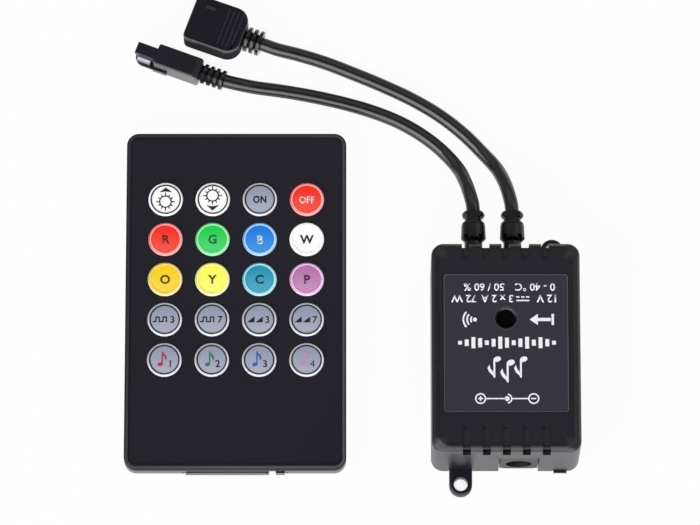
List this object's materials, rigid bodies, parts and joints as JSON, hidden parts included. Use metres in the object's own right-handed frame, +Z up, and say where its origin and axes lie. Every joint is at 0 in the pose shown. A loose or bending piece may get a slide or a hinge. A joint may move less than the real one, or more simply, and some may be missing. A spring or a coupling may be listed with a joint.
{
  "type": "led strip controller",
  "caption": "Sound-reactive controller box for LED strips, with a four-way output lead, an infrared sensor lead and a flat card remote with round keys.",
  "frame": {"origin": "centre of the control box's underside, on its base plate", "axes": "+Z up out of the label, +Y towards the end wall where both leads leave, +X across the box away from the remote"},
  "size_m": [0.1106, 0.1262, 0.02],
  "materials": {
    "cover_plastic": "fine spark-eroded texture",
    "label_sheet": "silk-screened matt polyester sheet",
    "board_laminate": "green solder mask",
    "jack_plastic": "black moulded plastic",
    "plated_metal": "nickel plated",
    "cell_steel": "drawn stainless steel",
    "boot_rubber": "matt",
    "chip_epoxy": "moulded epoxy",
    "capacitor_sleeve": "shrunk sleeve",
    "component_ceramic": "fired ceramic",
    "cord_vinyl": "soft vinyl, satin",
    "wire_red": "vinyl insulation",
    "wire_blue": "vinyl insulation",
    "plug_plastic": "moulded, satin",
    "receiver_lens": "bright shield",
    "remote_plastic": "fine texture",
    "face_sheet": "matt polyester sheet",
    "emitter_epoxy": "clear tinted epoxy",
    "key_white": "printed film",
    "key_grey": "printed silver film",
    "key_silver": "printed silver film",
    "key_scarlet": "printed film",
    "key_leaf": "printed film",
    "key_sea": "printed film",
    "key_amber": "printed film",
    "key_lemon": "printed film",
    "key_sky": "printed film",
    "key_violet": "printed film"
  },
  "bodies": {
    "control_box": {"top_cover": "cover_plastic", "base_plate": "cover_plastic", "label": "label_sheet", "main_board": "board_laminate", "dc_jack": "jack_plastic", "jack_pin": "plated_metal", "jack_spring": "plated_metal", "microphone": "plated_metal", "microphone_boot": "boot_rubber", "controller_chip": "chip_epoxy", "amplifier_chip": "chip_epoxy", "output_transistors": "chip_epoxy", "voltage_regulator": "chip_epoxy", "filter_capacitor": "capacitor_sleeve", "chip_components": "component_ceramic", "output_relief": "cord_vinyl", "sensor_relief": "cord_vinyl", "output_wires": "wire_red", "sensor_wires": "wire_blue", "output_cord": "cord_vinyl", "plug_body": "plug_plastic", "plug_contacts": "plated_metal", "plug_boot": "cord_vinyl", "sensor_cord": "cord_vinyl", "sensor_shell": "plug_plastic", "ir_receiver": "receiver_lens", "sensor_boot": "cord_vinyl"},
    "remote": {"remote_back_shell": "remote_plastic", "remote_front_shell": "remote_plastic", "remote_face": "face_sheet", "remote_board": "board_laminate", "snap_domes": "plated_metal", "remote_chip": "chip_epoxy", "resonator": "component_ceramic", "ir_emitter": "emitter_epoxy", "battery_contacts": "plated_metal"},
    "battery_drawer": {"battery_tray": "remote_plastic", "coin_cell": "cell_steel"},
    "drawer_latch": {"tray_latch": "remote_plastic"},
    "key_brighter": {"key_brighter": "key_white"},
    "key_dimmer": {"key_dimmer": "key_white"},
    "key_on": {"key_on": "key_grey"},
    "key_off": {"key_off": "key_scarlet"},
    "key_red": {"key_red": "key_scarlet"},
    "key_green": {"key_green": "key_leaf"},
    "key_blue": {"key_blue": "key_sea"},
    "key_white": {"key_white": "key_white"},
    "key_orange": {"key_orange": "key_amber"},
    "key_yellow": {"key_yellow": "key_lemon"},
    "key_cyan": {"key_cyan": "key_sky"},
    "key_purple": {"key_purple": "key_violet"},
    "key_jump_3": {"key_jump_3": "key_grey"},
    "key_jump_7": {"key_jump_7": "key_grey"},
    "key_fade_3": {"key_fade_3": "key_grey"},
    "key_fade_7": {"key_fade_7": "key_grey"},
    "key_music_1": {"key_music_1": "key_silver"},
    "key_music_2": {"key_music_2": "key_silver"},
    "key_music_3": {"key_music_3": "key_silver"},
    "key_music_4": {"key_music_4": "key_silver"}
  },
  "joints": [
    {"name": "remote_lift", "type": "slide", "parent": "control_box", "child": "remote", "axis": [0, 0, 1], "range_m": [0, 0.05]},
    {"name": "press_brighter", "type": "slide", "parent": "remote", "child": "key_brighter", "axis": [0, 0, -1], "range_m": [0, 0.0003], "stiffness_N_per_m": 600, "deforming": ["snap_domes"]},
    {"name": "press_dimmer", "type": "slide", "parent": "remote", "child": "key_dimmer", "axis": [0, 0, -1], "range_m": [0, 0.0003], "stiffness_N_per_m": 600, "deforming": ["snap_domes"]},
    {"name": "press_on", "type": "slide", "parent": "remote", "child": "key_on", "axis": [0, 0, -1], "range_m": [0, 0.0003], "stiffness_N_per_m": 600, "deforming": ["snap_domes"]},
    {"name": "press_off", "type": "slide", "parent": "remote", "child": "key_off", "axis": [0, 0, -1], "range_m": [0, 0.0003], "stiffness_N_per_m": 600, "deforming": ["snap_domes"]},
    {"name": "press_red", "type": "slide", "parent": "remote", "child": "key_red", "axis": [0, 0, -1], "range_m": [0, 0.0003], "stiffness_N_per_m": 600, "deforming": ["snap_domes"]},
    {"name": "press_green", "type": "slide", "parent": "remote", "child": "key_green", "axis": [0, 0, -1], "range_m": [0, 0.0003], "stiffness_N_per_m": 600, "deforming": ["snap_domes"]},
    {"name": "press_blue", "type": "slide", "parent": "remote", "child": "key_blue", "axis": [0, 0, -1], "range_m": [0, 0.0003], "stiffness_N_per_m": 600, "deforming": ["snap_domes"]},
    {"name": "press_white", "type": "slide", "parent": "remote", "child": "key_white", "axis": [0, 0, -1], "range_m": [0, 0.0003], "stiffness_N_per_m": 600, "deforming": ["snap_domes"]},
    {"name": "press_orange", "type": "slide", "parent": "remote", "child": "key_orange", "axis": [0, 0, -1], "range_m": [0, 0.0003], "stiffness_N_per_m": 600, "deforming": ["snap_domes"]},
    {"name": "press_yellow", "type": "slide", "parent": "remote", "child": "key_yellow", "axis": [0, 0, -1], "range_m": [0, 0.0003], "stiffness_N_per_m": 600, "deforming": ["snap_domes"]},
    {"name": "press_cyan", "type": "slide", "parent": "remote", "child": "key_cyan", "axis": [0, 0, -1], "range_m": [0, 0.0003], "stiffness_N_per_m": 600, "deforming": ["snap_domes"]},
    {"name": "press_purple", "type": "slide", "parent": "remote", "child": "key_purple", "axis": [0, 0, -1], "range_m": [0, 0.0003], "stiffness_N_per_m": 600, "deforming": ["snap_domes"]},
    {"name": "press_jump_3", "type": "slide", "parent": "remote", "child": "key_jump_3", "axis": [0, 0, -1], "range_m": [0, 0.0003], "stiffness_N_per_m": 600, "deforming": ["snap_domes"]},
    {"name": "press_jump_7", "type": "slide", "parent": "remote", "child": "key_jump_7", "axis": [0, 0, -1], "range_m": [0, 0.0003], "stiffness_N_per_m": 600, "deforming": ["snap_domes"]},
    {"name": "press_fade_3", "type": "slide", "parent": "remote", "child": "key_fade_3", "axis": [0, 0, -1], "range_m": [0, 0.0003], "stiffness_N_per_m": 600, "deforming": ["snap_domes"]},
    {"name": "press_fade_7", "type": "slide", "parent": "remote", "child": "key_fade_7", "axis": [0, 0, -1], "range_m": [0, 0.0003], "stiffness_N_per_m": 600, "deforming": ["snap_domes"]},
    {"name": "press_music_1", "type": "slide", "parent": "remote", "child": "key_music_1", "axis": [0, 0, -1], "range_m": [0, 0.0003], "stiffness_N_per_m": 600, "deforming": ["snap_domes"]},
    {"name": "press_music_2", "type": "slide", "parent": "remote", "child": "key_music_2", "axis": [0, 0, -1], "range_m": [0, 0.0003], "stiffness_N_per_m": 600, "deforming": ["snap_domes"]},
    {"name": "press_music_3", "type": "slide", "parent": "remote", "child": "key_music_3", "axis": [0, 0, -1], "range_m": [0, 0.0003], "stiffness_N_per_m": 600, "deforming": ["snap_domes"]},
    {"name": "press_music_4", "type": "slide", "parent": "remote", "child": "key_music_4", "axis": [0, 0, -1], "range_m": [0, 0.0003], "stiffness_N_per_m": 600, "deforming": ["snap_domes"]},
    {"name": "drawer_slide", "type": "slide", "parent": "remote", "child": "battery_drawer", "axis": [0, -1, 0], "range_m": [0, 0.022]},
    {"name": "latch_squeeze", "type": "hinge", "parent": "battery_drawer", "child": "drawer_latch", "pos_m": [-0.05425, -0.0148, 0.0013], "axis": [0, 0, -1], "range_deg": [0, 6], "stiffness_Nm_per_rad": 0.05}
  ]
}
